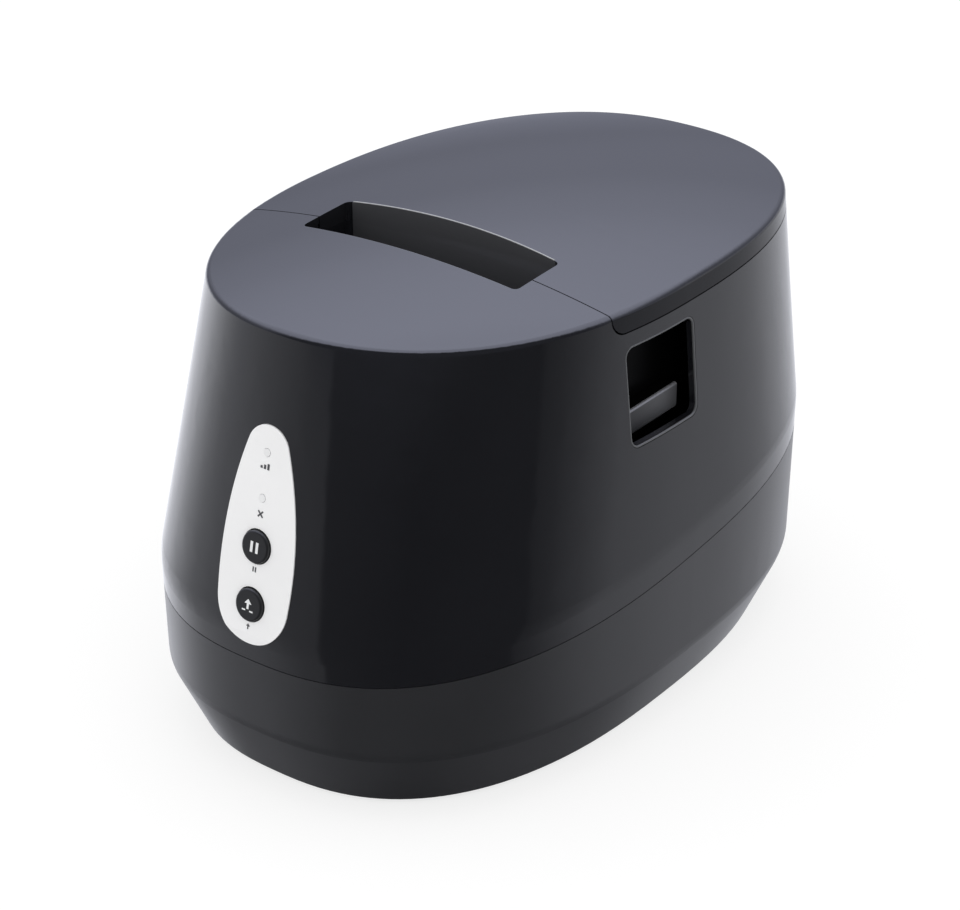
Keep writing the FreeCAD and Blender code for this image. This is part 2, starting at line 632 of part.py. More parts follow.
# Platen roller, its shaft and bearings, carried by the lid.
PLATEN_Z = "foot_height + platen_height"
roller = cut("platen_roller", rod("platen_roller_solid", "x", "-platen_half", "-platen_setback", PLATEN_Z,
                                  "platen_radius", "2 * platen_half"),
             [rod("platen_roller_bore", "x", "-platen_half - 1", "-platen_setback", PLATEN_Z,
                  "shaft_radius + 0.02", "2 * platen_half + 2")])
keep(roller, "platen_roller")
SHAFT_LEFT = "plate_inner + plate_thick + 6.4 + gear_width"
keep(rod("platen_shaft", "x", "-(" + SHAFT_LEFT + ")", "-platen_setback", PLATEN_Z, "shaft_radius",
         SHAFT_LEFT + " + plate_inner + plate_thick + 2.5"), "platen_shaft")
bushings = []
for side, start in (("left", "-plate_inner - plate_thick - 1"), ("right", "plate_inner - 0.7")):
    ring_out = rod("bushing_outer_" + side, "x", start, "-platen_setback", PLATEN_Z, "shaft_radius + 2",
                   "plate_thick + 1.7")
    ring_in = rod("bushing_bore_" + side, "x", start + " - 1", "-platen_setback", PLATEN_Z,
                  "shaft_radius + running_fit", "plate_thick + 4")
    bushings.append(cut("bushing_" + side, ring_out, [ring_in]))
keep(group("platen_bushings", bushings), "platen_bushings")

# Carrier under the lid: cross bar, two ears for the shaft and two catch lugs.
EAR_X0 = dim("slot_half_width") + dim("slot_wall") + 0.5
EAR_X1 = PLATE_IN - 1.0
BAR_Y0 = PLATEN.y + 3
BAR_Y1 = PLATEN.y + 11
LUG_X0 = LEVER_X - 7.5
LUG_X1 = LEVER_X - 4.5
LUG_LOW = SKIRT_Z - 11
LUG_TOP = LUG_LOW + 3.5
bar = block(-LUG_X1, LUG_X1, BAR_Y0, BAR_Y1, CARRIER_Z - 3, CARRIER_Z)
carrier_parts = []
for sign in (-1, 1):
    x0, x1 = sorted((sign * EAR_X0, sign * EAR_X1))
    carrier_parts.append(block(x0, x1, PLATEN.y - 6, BAR_Y1, PLATEN.z - 6, CARRIER_Z))
    x0, x1 = sorted((sign * LUG_X0, sign * LUG_X1))
    carrier_parts.append(block(x0, x1, BAR_Y0, BAR_Y1, LUG_LOW, CARRIER_Z))
    x0, x1 = sorted((sign * LUG_X0, sign * (LEVER_X - 1)))
    carrier_parts.append(block(x0, x1, BAR_Y0, BAR_Y1, LUG_LOW, LUG_TOP))
carrier = bar.fuse(carrier_parts).cut(x_rod(-FAR, FAR, PLATEN.y, PLATEN.z, SHAFT_R + FIT))
keep(shaped("platen_carrier", carrier.removeSplitter()), "platen_carrier")

# Mechanism frame: two side plates with open bearing notches, a floor and a front wall.
HEAD_BACK = PLATEN.y - dim("platen_radius") - 0.3
frame_parts = []
FRAME_Y0 = PLATEN.y - 34
FRAME_Y1 = PLATEN.y + 8.5
for sign in (-1, 1):
    x0, x1 = sorted((sign * PLATE_IN, sign * PLATE_OUT))
    plate = block(x0, x1, FRAME_Y0, FRAME_Y1, FRAME_LOW, PLATEN.z + 5)
    notch_r = SHAFT_R + 2.35
    plate = plate.cut(x_rod(x0 - 1, x1 + 1, PLATEN.y, PLATEN.z, notch_r))
    plate = plate.cut(block(x0 - 1, x1 + 1, PLATEN.y - notch_r, PLATEN.y + notch_r, PLATEN.z, PLATEN.z + 9))
    frame_parts.append(plate)
FLOOR_END = dim("tub_centre") - dim("tub_radius") - dim("tub_wall") - 1
FRAME_WALL = dim("plate_thick")
frame_parts.append(block(-PLATE_OUT, PLATE_OUT, FRAME_Y0, FLOOR_END, FRAME_LOW, FRAME_LOW + FRAME_WALL))
frame_parts.append(block(-PLATE_OUT, PLATE_OUT, FRAME_Y0, FRAME_Y0 + FRAME_WALL, FRAME_LOW, PLATEN.z + 5))
frame = frame_parts[0].fuse(frame_parts[1:])
frame = frame.cut(x_rod(-PLATE_OUT - 1, -PLATE_IN + 1, MOTOR.y, MOTOR.z, MOTOR_SHAFT_R + 2.5))
frame = frame.cut(x_rod(-PLATE_OUT - 1, -PLATE_IN + 1, IDLER.y, IDLER.z, IDLER_PIN_R + 0.02))
HEAD_LOW = PLATEN.z - 16
HEAD_TOP = PLATEN.z + 1
PIVOT_Y = HEAD_BACK - 5.0
HEAD_PIVOT_Z = HEAD_LOW + 3.5
frame = frame.cut(x_rod(-FAR, FAR, PIVOT_Y, HEAD_PIVOT_Z, PIN_R + 0.02))
keep(shaped("mechanism_frame", frame.removeSplitter()), "mechanism_frame")
keep(shaped("head_pin", x_rod(-PLATE_OUT, PLATE_OUT, PIVOT_Y, HEAD_PIVOT_Z, PIN_R)), "head_pin")

# Print head: finned heat sink hung on the pin, with the ceramic strip facing the platen.
HEAD_HALF = dim("platen_half")
strip = block(-HEAD_HALF, HEAD_HALF, HEAD_BACK - 1.0, HEAD_BACK, HEAD_TOP - 8, HEAD_TOP)
keep(shaped("head_strip", strip), "head_strip")
sink = block(-HEAD_HALF, HEAD_HALF, HEAD_BACK - 5.0, HEAD_BACK - 1.0, HEAD_LOW, HEAD_TOP)
sink = sink.fuse(block(-HEAD_HALF, HEAD_HALF, PIVOT_Y - 3.5, HEAD_BACK - 1.0, HEAD_LOW, HEAD_LOW + 7))
sink = sink.cut(x_rod(-FAR, FAR, PIVOT_Y, HEAD_PIVOT_Z, PIN_R + FIT))
for step in range(3):
    z = HEAD_LOW + 8.5 + step * 1.8
    sink = sink.cut(block(-FAR, FAR, HEAD_BACK - 6, HEAD_BACK - 3.5, z, z + 0.9))
keep(shaped("print_head", sink.removeSplitter()), "print_head")
# Sloping guide that leads the paper from the head up to the front of the slot.
guide_low = (HEAD_BACK - 2.2, HEAD_TOP + 1.5)
guide_high = (-dim("slot_front") + 0.8, SKIRT_Z - 4.6)
exit_guide = side_prism([guide_low, (guide_low[0] - 1.2, guide_low[1]), (guide_high[0] - 0.4, guide_high[1]),
                         (guide_high[0] + 0.8, guide_high[1])], -PLATE_IN + 0.2, PLATE_IN - 0.2)
keep(shaped("exit_guide", exit_guide), "exit_guide")
spring_z = HEAD_TOP - 3.5
springs = []
for x in (-24.0, 24.0):
    start = Vector(x, FRAME_Y0 + FRAME_WALL, spring_z)
    run = HEAD_BACK - 6.0 - start.y
    sleeve = Part.makeCylinder(3.0, run, start, Vector(0, 1, 0))
    springs.append(sleeve.cut(Part.makeCylinder(2.3, run, start, Vector(0, 1, 0))))
keep(shaped("head_springs", Part.makeCompound(springs)), "head_springs")


def release_lever(side):
    """Hook plate with a finger paddle low in the window, turning about a pin at its foot."""
    arm_y0 = BAR_Y0 - 1.5
    arm_y1 = BAR_Y1 + 1.5
    plate = block(LEVER_X, LEVER_OUT, LEVER_Y0, LEVER_Y1, PIVOT_Z - 3.5, FLOOR + dim("window_low") + 8)
    arm = block(LEVER_X, LEVER_OUT, LEVER_Y0 + 6, LEVER_Y1 + 13, PIVOT_Z + 14, LUG_TOP + 4.4)
    hook = block(LEVER_X - 0.6, LEVER_OUT, arm_y0, arm_y1, LUG_TOP + 0.4, LUG_TOP + 4.4)
    boss = Part.makeCylinder(3.5, LEVER_Y1 - LEVER_Y0, Vector(PIVOT_X, LEVER_Y0, PIVOT_Z), Vector(0, 1, 0))
    paddle = block(LEVER_OUT - 1, LEVER_OUT + 5.5, -dim("window_front") + 0.6, dim("window_rear") - 2.2,
                   FLOOR + dim("window_low") + 0.6, FLOOR + dim("window_low") + 9)
    rounded = [e for e in paddle.Edges if e.BoundBox.YLength > 5 and e.CenterOfMass.x > LEVER_OUT + 5]
    rounded += [e for e in paddle.Edges if e.BoundBox.XLength > 5 and e.CenterOfMass.y > 0
                and e.CenterOfMass.z < FLOOR + dim("window_low") + 4]
    paddle = paddle.makeFillet(0.9, rounded)
    lever = plate.fuse([arm, hook, boss, paddle])
    bore = Part.makeCylinder(PIN_R + FIT, 80, Vector(PIVOT_X, LEVER_Y0 - 20, PIVOT_Z), Vector(0, 1, 0))
    lever = lever.cut(bore).removeSplitter()
    return lever if side > 0 else lever.mirror(Vector(), Vector(1, 0, 0))


keep(shaped("right_release_lever", release_lever(1)), "right_release_lever")
keep(shaped("left_release_lever", release_lever(-1)), "left_release_lever")
pin_start = Vector(PIVOT_X, LEVER_Y0 - 2.4, PIVOT_Z)
pin = Part.makeCylinder(PIN_R, LEVER_Y1 - LEVER_Y0 + 4.8, pin_start, Vector(0, 1, 0))
keep(shaped("lever_pins", Part.makeCompound(both_sides(pin))), "lever_pins")

# Roll guides: two plates with hubs, each on its own rack below the tub, one pinion between.
R_MODULE = dim("rack_module")
R_TEETH = dim("rack_teeth")
R_PITCH = R_MODULE * R_TEETH / 2
TUB_Y = dim("tub_centre")
TUB_Z = FLOOR + dim("tub_height")
RACK_Z0 = FLOOR + 11.0
RACK_Z1 = RACK_Z0 + 4.0


def rack(length_in, length_out):
    """Toothed bar along X, its pitch line on y = 0 and teeth towards +Y, a tooth at x = 0."""
    step = math.pi * R_MODULE
    half = (step / 2 - 0.3) / 2
    slant = math.tan(math.radians(20))
    up = 0.8 * R_MODULE
    down = 1.2 * R_MODULE
    points = [Vector(length_out, -4.0, 0), Vector(length_in, -4.0, 0), Vector(length_in, -down, 0)]
    count = int((length_in - 2) / step)
    first = int((length_out + 2) / step)
    for tooth in range(count, first - 1, -1):
        x = tooth * step
        points += [Vector(x + half + down * slant, -down, 0), Vector(x + half - up * slant, up, 0),
                   Vector(x - half + up * slant, up, 0), Vector(x - half - down * slant, -down, 0)]
    points.append(Vector(length_out, -down, 0))
    face = Part.Face(Part.makePolygon(points + points[:1]))
    return face.extrude(Vector(0, 0, RACK_Z1 - RACK_Z0))


GUIDE_OUT = dim("tub_half") - 0.4
GUIDE_IN = GUIDE_OUT - dim("guide_thick")


def left_guide():
    bar = rack(8.0, -GUIDE_OUT)
    bar.translate(Vector(0, TUB_Y - R_PITCH, RACK_Z0))
    leg = block(-GUIDE_OUT, -GUIDE_IN, TUB_Y - R_PITCH - 4, TUB_Y - R_PITCH - 1.2, RACK_Z0, FLOOR + 34)
    plate = x_rod(-GUIDE_OUT, -GUIDE_IN, TUB_Y, TUB_Z, dim("tub_radius") - 1.0)
    plate = plate.common(block(-FAR, FAR, TUB_Y - 20, TUB_Y + 20, 0, TUB_Z + 12))
    hub = x_rod(-GUIDE_IN - 0.5, -GUIDE_IN + 6, TUB_Y, TUB_Z, 6.0)
    hub_edge = [e for e in hub.Edges if e.CenterOfMass.x > -GUIDE_IN + 5 and len(e.Vertexes) == 1]
    hub = hub.makeChamfer(1.5, hub_edge)
    return bar.fuse([leg, plate, hub]).removeSplitter()


guide = left_guide()
keep(shaped("left_roll_guide", guide), "left_roll_guide")
turned = guide.copy()
turned.rotate(Vector(0, TUB_Y, 0), Vector(0, 0, 1), 180)
keep(shaped("right_roll_guide", turned), "right_roll_guide")
guide_pinion = gear(R_TEETH, R_MODULE, -math.pi / 2 + math.pi / R_TEETH, RACK_Z1 - RACK_Z0, 2.0 + FIT, 0.3)
guide_pinion.translate(Vector(0, TUB_Y, RACK_Z0))
keep(shaped("guide_pinion", guide_pinion), "guide_pinion")
keep(rod("guide_pinion_pin", "z", "0", "tub_centre", "foot_height + shell_wall", "2", "13"), "guide_pinion_pin")

# Electronics and rear connectors.
REAR = HALF_LENGTH
BOARD_Y = "body_length / 2 - board_setback"
keep(box("main_board", "-33", "33", BOARD_Y, BOARD_Y + " + board_thick", "foot_height + 15", "foot_height + 60"),
     "main_board")
BOARD_BACK = REAR - dim("board_setback")
CHIPS = ((0, 42, 7, 7), (-22, 40, 4, 3), (20, 46, 5, 3), (22, 30, 3, 3))
chips = [block(x - w, x + w, BOARD_BACK - 2, BOARD_BACK, FLOOR + z - h, FLOOR + z + h) for x, z, w, h in CHIPS]
keep(shaped("board_chips", Part.makeCompound(chips)), "board_chips")
BOARD_FACE = BOARD_BACK + dim("board_thick")
jack = block(-30, -20, BOARD_FACE, REAR - 3.2, PORT_LOW, PORT_LOW + 11)
jack = jack.cut(Part.makeCylinder(3.2, 9, Vector(-25, REAR - 11, PORT_LOW + 5.5), Vector(0, 1, 0)))
jack = jack.fuse(Part.makeCylinder(1.0, 8, Vector(-25, REAR - 11.5, PORT_LOW + 5.5), Vector(0, 1, 0)))
keep(shaped("power_inlet", jack.removeSplitter()), "power_inlet")
port = block(-6, 6, BOARD_FACE, REAR - 1.4, PORT_LOW, PORT_LOW + 11)
port = port.cut(block(-4.4, 4.4, REAR - 10, REAR, PORT_LOW + 1.6, PORT_LOW + 9.4))
port = port.fuse(block(-2.8, 2.8, REAR - 10.5, REAR - 2.4, PORT_LOW + 3.8, PORT_LOW + 7.0))
keep(shaped("data_port", port.removeSplitter()), "data_port")
ROCK_Z = PORT_LOW + 8.5
ROCK_Y = REAR - 6.5
switch = block(18.5, 31.5, BOARD_FACE, REAR - 4.6, PORT_LOW, PORT_LOW + 17)
switch = switch.cut(block(20, 30, REAR - 10.8, REAR, PORT_LOW + 1.4, PORT_LOW + 15.6))
for x in (19.2, 30.8):
    switch = switch.cut(x_rod(x - 0.8, x + 0.8, ROCK_Y, ROCK_Z, 1.0 + FIT))
keep(shaped("power_switch", switch), "power_switch")
rocker = side_prism([(ROCK_Y - 2, ROCK_Z - 5.6), (ROCK_Y + 3.9, ROCK_Z - 5.4), (ROCK_Y + 2.5, ROCK_Z),
                     (ROCK_Y + 2.3, ROCK_Z + 5.6), (ROCK_Y - 2, ROCK_Z + 5.6)], 20.4, 29.6)
rocker = rocker.fuse(x_rod(18.7, 31.3, ROCK_Y, ROCK_Z, 1.0))
keep(shaped("power_rocker", rocker.removeSplitter()), "power_rocker")
TUB_FRONT = "tub_centre - tub_radius - tub_wall"
keep(box("paper_sensor", "-6", "6", TUB_FRONT + " - 3.2", TUB_FRONT, TUB_AXIS + " + 14", TUB_AXIS + " + 22"),
     "paper_sensor")

# Small hardware.
HINGE_Z = "foot_height + edge_height - skirt_height + 0.2"
keep(rod("hinge_pin", "x", "-23.8", "body_length / 2 - hinge_radius", HINGE_Z, "hinge_pin_radius", "47.6"),
     "hinge_pin")
feet = [rod("foot_%d" % n, "z", x, y, "0", "7", "foot_height + 0.6")
        for n, (x, y) in enumerate((("-foot_across", "-foot_along"), ("foot_across", "-foot_along"),
                                    ("-foot_across", "foot_along"), ("foot_across", "foot_along")))]
keep(group("rubber_feet", feet), "rubber_feet")
screws = []
for n, (x, y) in enumerate((("-post_across", "-post_along"), ("post_across", "-post_along"),
                            ("-post_across", "post_along"), ("post_across", "post_along"))):
    head = rod("screw_head_%d" % n, "z", x, y, "foot_height + 0.3", "2.8", "1.7")
    shank = rod("screw_shank_%d" % n, "z", x, y, "foot_height + 1", "screw_radius", "18")
    screws.append(fuse("screw_%d" % n, [head, shank]))
keep(group("base_screws", screws), "base_screws")

doc.recompute()
os.makedirs("parts", exist_ok=True)
faults = []
for obj in doc.Objects:
    if "Invalid" in obj.State or "Error" in obj.State:
        faults.append(obj.Label + " " + ",".join(obj.State))
for obj in nodes:
    shape = obj.Shape
    if shape.isNull() or not shape.isValid() or not shape.Solids:
        faults.append(obj.Label + " shape is not a sound solid")
if faults:
    raise RuntimeError("; ".join(faults))
for obj in nodes:
    obj.Shape.exportStep("parts/%s.step" % obj.Label)
    box_size = obj.Shape.BoundBox
    print("%-22s solids %d  x %.1f %.1f  y %.1f %.1f  z %.1f %.1f" % (
        obj.Label, len(obj.Shape.Solids), box_size.XMin, box_size.XMax, box_size.YMin, box_size.YMax,
        box_size.ZMin, box_size.ZMax))
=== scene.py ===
import bpy
import bmesh
import json
import math
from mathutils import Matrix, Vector


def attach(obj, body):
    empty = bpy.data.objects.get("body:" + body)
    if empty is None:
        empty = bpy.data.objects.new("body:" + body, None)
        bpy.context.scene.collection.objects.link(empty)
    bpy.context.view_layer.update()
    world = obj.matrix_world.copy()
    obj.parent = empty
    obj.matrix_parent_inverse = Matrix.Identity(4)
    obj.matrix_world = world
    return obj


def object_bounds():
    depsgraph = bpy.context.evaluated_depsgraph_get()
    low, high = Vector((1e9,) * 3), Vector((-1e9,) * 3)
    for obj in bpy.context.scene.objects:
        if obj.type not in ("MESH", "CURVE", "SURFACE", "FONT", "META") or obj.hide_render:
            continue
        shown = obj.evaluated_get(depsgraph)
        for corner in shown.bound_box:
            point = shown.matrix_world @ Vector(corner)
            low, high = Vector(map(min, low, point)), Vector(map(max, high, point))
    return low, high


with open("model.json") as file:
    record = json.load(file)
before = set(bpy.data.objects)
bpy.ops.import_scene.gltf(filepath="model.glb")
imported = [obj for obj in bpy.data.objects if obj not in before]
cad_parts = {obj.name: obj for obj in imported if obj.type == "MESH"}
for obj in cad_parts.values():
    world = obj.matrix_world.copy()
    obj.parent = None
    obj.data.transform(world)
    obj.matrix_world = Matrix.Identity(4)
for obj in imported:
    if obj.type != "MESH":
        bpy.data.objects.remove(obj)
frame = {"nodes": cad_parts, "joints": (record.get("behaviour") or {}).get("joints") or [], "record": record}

cad_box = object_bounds()
nodes = frame["nodes"]
joints = {joint["name"]: joint for joint in frame["joints"]}
scene = bpy.context.scene
UP = Vector((0, 0, 1))
MM = 0.001
FULL_TURN = math.radians(360)
QUARTER_TURN = math.radians(90)
MIDDLE = 0.5
WHITE = (1, 1, 1, 1)
BLACK = (0, 0, 0, 1)


# Camera at the photograph's view, in metres, pixels and degrees.
AZIMUTH = math.radians(37.07)
ELEVATION = math.radians(27.50)
DISTANCE = 0.8226
FOCAL_PX = 2540.8
FRAME_PX = 960
SENSOR_MM = 36.0
NEAR_CLIP = 0.01
AIM_HEIGHT = 0.0850
AIM_RIGHT = -0.00307
AIM_UP = -0.01663


def photo_camera():
    flat = math.cos(ELEVATION)
    back = Vector((math.sin(AZIMUTH) * flat, -math.cos(AZIMUTH) * flat, math.sin(ELEVATION)))
    right = Vector((math.cos(AZIMUTH), math.sin(AZIMUTH), 0))
    up = back.cross(right)
    aim = UP * AIM_HEIGHT + right * AIM_RIGHT + up * AIM_UP
    camera_data = bpy.data.cameras.new("photo_view")
    camera_data.sensor_width = SENSOR_MM
    camera_data.lens = FOCAL_PX * SENSOR_MM / FRAME_PX
    camera_data.clip_start = NEAR_CLIP
    camera = bpy.data.objects.new("photo_view", camera_data)
    camera.location = aim + back * DISTANCE
    camera.rotation_euler = back.to_track_quat("Z", "Y").to_euler()
    scene.collection.objects.link(camera)
    scene.camera = camera


photo_camera()
scene.view_settings.view_transform = "Standard"


# Small steps that materials and the room are built from.
RAMP_START = 0.3
RAMP_END = 0.7


def material(name, build):
    mat = bpy.data.materials.new(name)
    mat.use_nodes = True
    tree = mat.node_tree
    build(tree, tree.nodes["Principled BSDF"])
    return mat


def link(tree, source, target):
    tree.links.new(source, target)


def noise(tree, scale, detail, stretch=(1.0, 1.0, 1.0)):
    """Noise in the object's own axes, in metres, with each axis stretched by a factor."""
    coords = tree.nodes.new("ShaderNodeTexCoord")
    place = tree.nodes.new("ShaderNodeMapping")
    place.inputs["Scale"].default_value = stretch
    link(tree, coords.outputs["Object"], place.inputs["Vector"])
    node = tree.nodes.new("ShaderNodeTexNoise")
    node.inputs["Scale"].default_value = scale
    node.inputs["Detail"].default_value = detail
    link(tree, place.outputs["Vector"], node.inputs["Vector"])
    return node.outputs["Fac"]


def ramp(tree, source, low, high):
    node = tree.nodes.new("ShaderNodeValToRGB")
    first, last = node.color_ramp.elements
    first.position = RAMP_START
    first.color = (*low, 1)
    last.position = RAMP_END
    last.color = (*high, 1)
    link(tree, source, node.inputs["Fac"])
    return node.outputs["Color"]


def stops(tree, source, pairs):
    """Grey ramp through (position, level) pairs."""
    node = tree.nodes.new("ShaderNodeValToRGB")
    elements = node.color_ramp.elements
    while len(elements) < len(pairs):
        elements.new(MIDDLE)
    for element, (position, level) in zip(elements, pairs):
        element.position = position
        element.color = (level, level, level, 1)
    link(tree, source, node.inputs["Fac"])
    return node.outputs["Color"]


def spread(tree, source, low, high):
    """Take zero to low and one to high."""
    node = tree.nodes.new("ShaderNodeMapRange")
    node.inputs["To Min"].default_value = low
    node.inputs["To Max"].default_value = high
    link(tree, source, node.inputs["Value"])
    return node.outputs["Result"]


def blend(tree, low, high, source):
    """Smooth step from zero at low to one at high."""
    node = tree.nodes.new("ShaderNodeMapRange")
    node.interpolation_type = "SMOOTHSTEP"
    node.inputs["From Min"].default_value = low
    node.inputs["From Max"].default_value = high
    link(tree, source, node.inputs["Value"])
    return node.outputs["Result"]


def bump(tree, shader, source, strength, depth):
    node = tree.nodes.new("ShaderNodeBump")
    node.inputs["Strength"].default_value = strength
    node.inputs["Distance"].default_value = depth
    link(tree, source, node.inputs["Height"])
    link(tree, node.outputs["Normal"], shader.inputs["Normal"])


def math_node(tree, operation, first, second=0.0):
    """One arithmetic step; each operand is a socket or a number."""
    node = tree.nodes.new("ShaderNodeMath")
    node.operation = operation
    for socket, value in zip(node.inputs, (first, second)):
        if isinstance(value, (int, float)):
            socket.default_value = value
        else:
            link(tree, value, socket)
    return node.outputs["Value"]


def times(tree, first, second):
    return math_node(tree, "MULTIPLY", first, second)


def mixed(tree, factor, first, second):
    """Colour from first to second; each is a socket or a colour."""
    node = tree.nodes.new("ShaderNodeMix")
    node.data_type = "RGBA"
    link(tree, factor, node.inputs["Factor"])
    for socket, value in ((node.inputs["A"], first), (node.inputs["B"], second)):
        if isinstance(value, tuple):
            socket.default_value = value
        else:
            link(tree, value, socket)
    return node.outputs["Result"]


def axis(tree, letter):
    """Place along one of the object's own axes, in metres."""
    coords = tree.nodes.new("ShaderNodeTexCoord")
    split = tree.nodes.new("ShaderNodeSeparateXYZ")
    link(tree, coords.outputs["Object"], split.inputs["Vector"])
    return split.outputs[letter]


# Places on the lid and the levers where a surface changes, in metres; most mark where painted light or shade
# starts.
SLOT_HALF = 0.041
SLOT_FRONT = -0.042
SLOT_REAR = -0.020
SLOT_BOW = 0.0024
SLOT_CORNER = 0.0018
EDGE_TOLERANCE = 0.0002
SKIRT_TOP = 0.1456
PADDLE_START = 0.0694
PADDLE_FADE = (-0.028, 0.0)
PADDLE_RIDGE = 0.11245


def slot_walls(tree):
    """One on the long walls of the paper slot, zero elsewhere; the rear edge of the slot is bowed. The walls
    it marks get painted light.
    """
    x = axis(tree, "X")
    y = axis(tree, "Y")
    bow = times(tree, times(tree, x, x), SLOT_BOW / SLOT_HALF ** 2)
    across = math_node(tree, "LESS_THAN", math_node(tree, "ABSOLUTE", x), SLOT_HALF - SLOT_CORNER)
    rear_edge = SLOT_REAR + SLOT_BOW + EDGE_TOLERANCE
    ahead = math_node(tree, "LESS_THAN", math_node(tree, "ADD", y, bow), rear_edge)
    behind = math_node(tree, "GREATER_THAN", y, SLOT_FRONT - EDGE_TOLERANCE)
    return times(tree, times(tree, across, ahead), behind)


def lid_skirt(tree):
    """One on the upright rim of the lid, zero on its top. The rim it marks gets painted shade."""
    return math_node(tree, "LESS_THAN", axis(tree, "Z"), SKIRT_TOP)


def paddle_end(tree):
    """One on the lever's outer end, where a finger pulls it, zero on the plate behind."""
    return math_node(tree, "GREATER_THAN", math_node(tree, "ABSOLUTE", axis(tree, "X")), PADDLE_START)


def paddle_painted_light_rear(tree):
    """Rises from zero at the front of the paddle to one at its rear, where painted light makes it paler."""
    return times(tree, paddle_end(tree), blend(tree, *PADDLE_FADE, axis(tree, "Y")))


def paddle_painted_highlight(tree):
    """One on the paddle's upper edge, where a pale painted highlight goes."""
    return times(tree, paddle_end(tree), math_node(tree, "GREATER_THAN", axis(tree, "Z"), PADDLE_RIDGE))


# Surfaces: noise scales are per metre, depths of the grain in metres.
CLOUD_SCALE = 35.0
CLOUD_DETAIL = 4.0
GRAIN_DETAIL = 2.0
LINE_DETAIL = 4.0
LINE_SHADE = 0.8
LINE_ROUGH = (-0.08, 0.1)
LINE_STRENGTH = 0.12
LINE_DEPTH = 0.00002
LINES_X = (40.0, 3000.0, 3000.0)
LINES_Z = (3000.0, 3000.0, 60.0)


def surface(color, rough, vary, grain, depth, strength, rough_vary=0.06, ior=1.5, specular=0.5, patches=()):
    """Moulded surface: cloudy colour, grained bump, uneven gloss, and (place, colour, specular) patches; most
    patches here are painted light or shade.
    """
    def build(tree, shader):
        cloud = noise(tree, CLOUD_SCALE, CLOUD_DETAIL)
        fine = noise(tree, grain, GRAIN_DETAIL)
        low = tuple(c * (1 - vary) for c in color)
        high = tuple(min(1.0, c * (1 + vary)) for c in color)
        tone = ramp(tree, cloud, low, high)
        shine = specular
        for place, patch_color, patch_shine in patches:
            there = place(tree)
            tone = mixed(tree, there, tone, (*patch_color, 1))
            shine = math_node(tree, "ADD", times(tree, there, patch_shine - specular), shine)
        if patches:
            link(tree, shine, shader.inputs["Specular IOR Level"])
        else:
            shader.inputs["Specular IOR Level"].default_value = specular
        link(tree, tone, shader.inputs["Base Color"])
        gloss = spread(tree, fine, rough - rough_vary, rough + rough_vary)
        link(tree, gloss, shader.inputs["Roughness"])
        bump(tree, shader, fine, strength, depth)
        shader.inputs["IOR"].default_value = ior
    return build


def brushed(color, rough, stretch):
    """Metal with fine lines drawn along one axis."""
    def build(tree, shader):
        lines = noise(tree, scale=1.0, detail=LINE_DETAIL, stretch=stretch)
        low = tuple(c * LINE_SHADE for c in color)
        link(tree, ramp(tree, lines, low, color), shader.inputs["Base Color"])
        smoother, rougher = LINE_ROUGH
        link(tree, spread(tree, lines, rough + smoother, rough + rougher), shader.inputs["Roughness"])
        bump(tree, shader, lines, LINE_STRENGTH, LINE_DEPTH)
        shader.inputs["Metallic"].default_value = 1.0
    return build


CASING = (0.0085, 0.0088, 0.0108)
KEY_BLACK = (0.014, 0.0145, 0.016)
# Painted light: a paler grey on the long walls of the paper slot, as if light fell into it.
SLOT_PAINTED_LIGHT = (slot_walls, (0.066, 0.067, 0.073), 0.5)
# Painted shade: the lid's upright rim keeps the casing colour but reflects less, as if it faced shadow.
SKIRT_PAINTED_SHADE = (lid_skirt, CASING, 0.15)
# The paddle's end in key black, with painted light making it paler towards its rear and a painted highlight
# on its upper edge.
PADDLE_TONE_AND_PAINTED_LIGHT = (
    (paddle_end, KEY_BLACK, 0.5),
    # Painted light: paler grey towards the paddle's rear.
    (paddle_painted_light_rear, (0.060, 0.061, 0.066), 0.5),
    # Painted highlight along the paddle's upper edge.
    (paddle_painted_highlight, (0.13, 0.132, 0.14), 0.5),
)


def casing_surface(*patches):
    return surface(CASING, rough=0.08, vary=0.05, grain=1800.0, depth=0.000003, strength=0.06,
                   rough_vary=0.015, ior=1.62, patches=patches)


def painted_highlight_surface(color, vary):
    """Rounded edge of a casing piece in a pale colour, a painted highlight."""
    return surface(color, rough=0.2, vary=vary, grain=1800.0, depth=0.000003, strength=0.06)


def ink(color, vary):
    return surface(color, rough=0.5, vary=vary, grain=2000.0, depth=0.000004, strength=0.1)


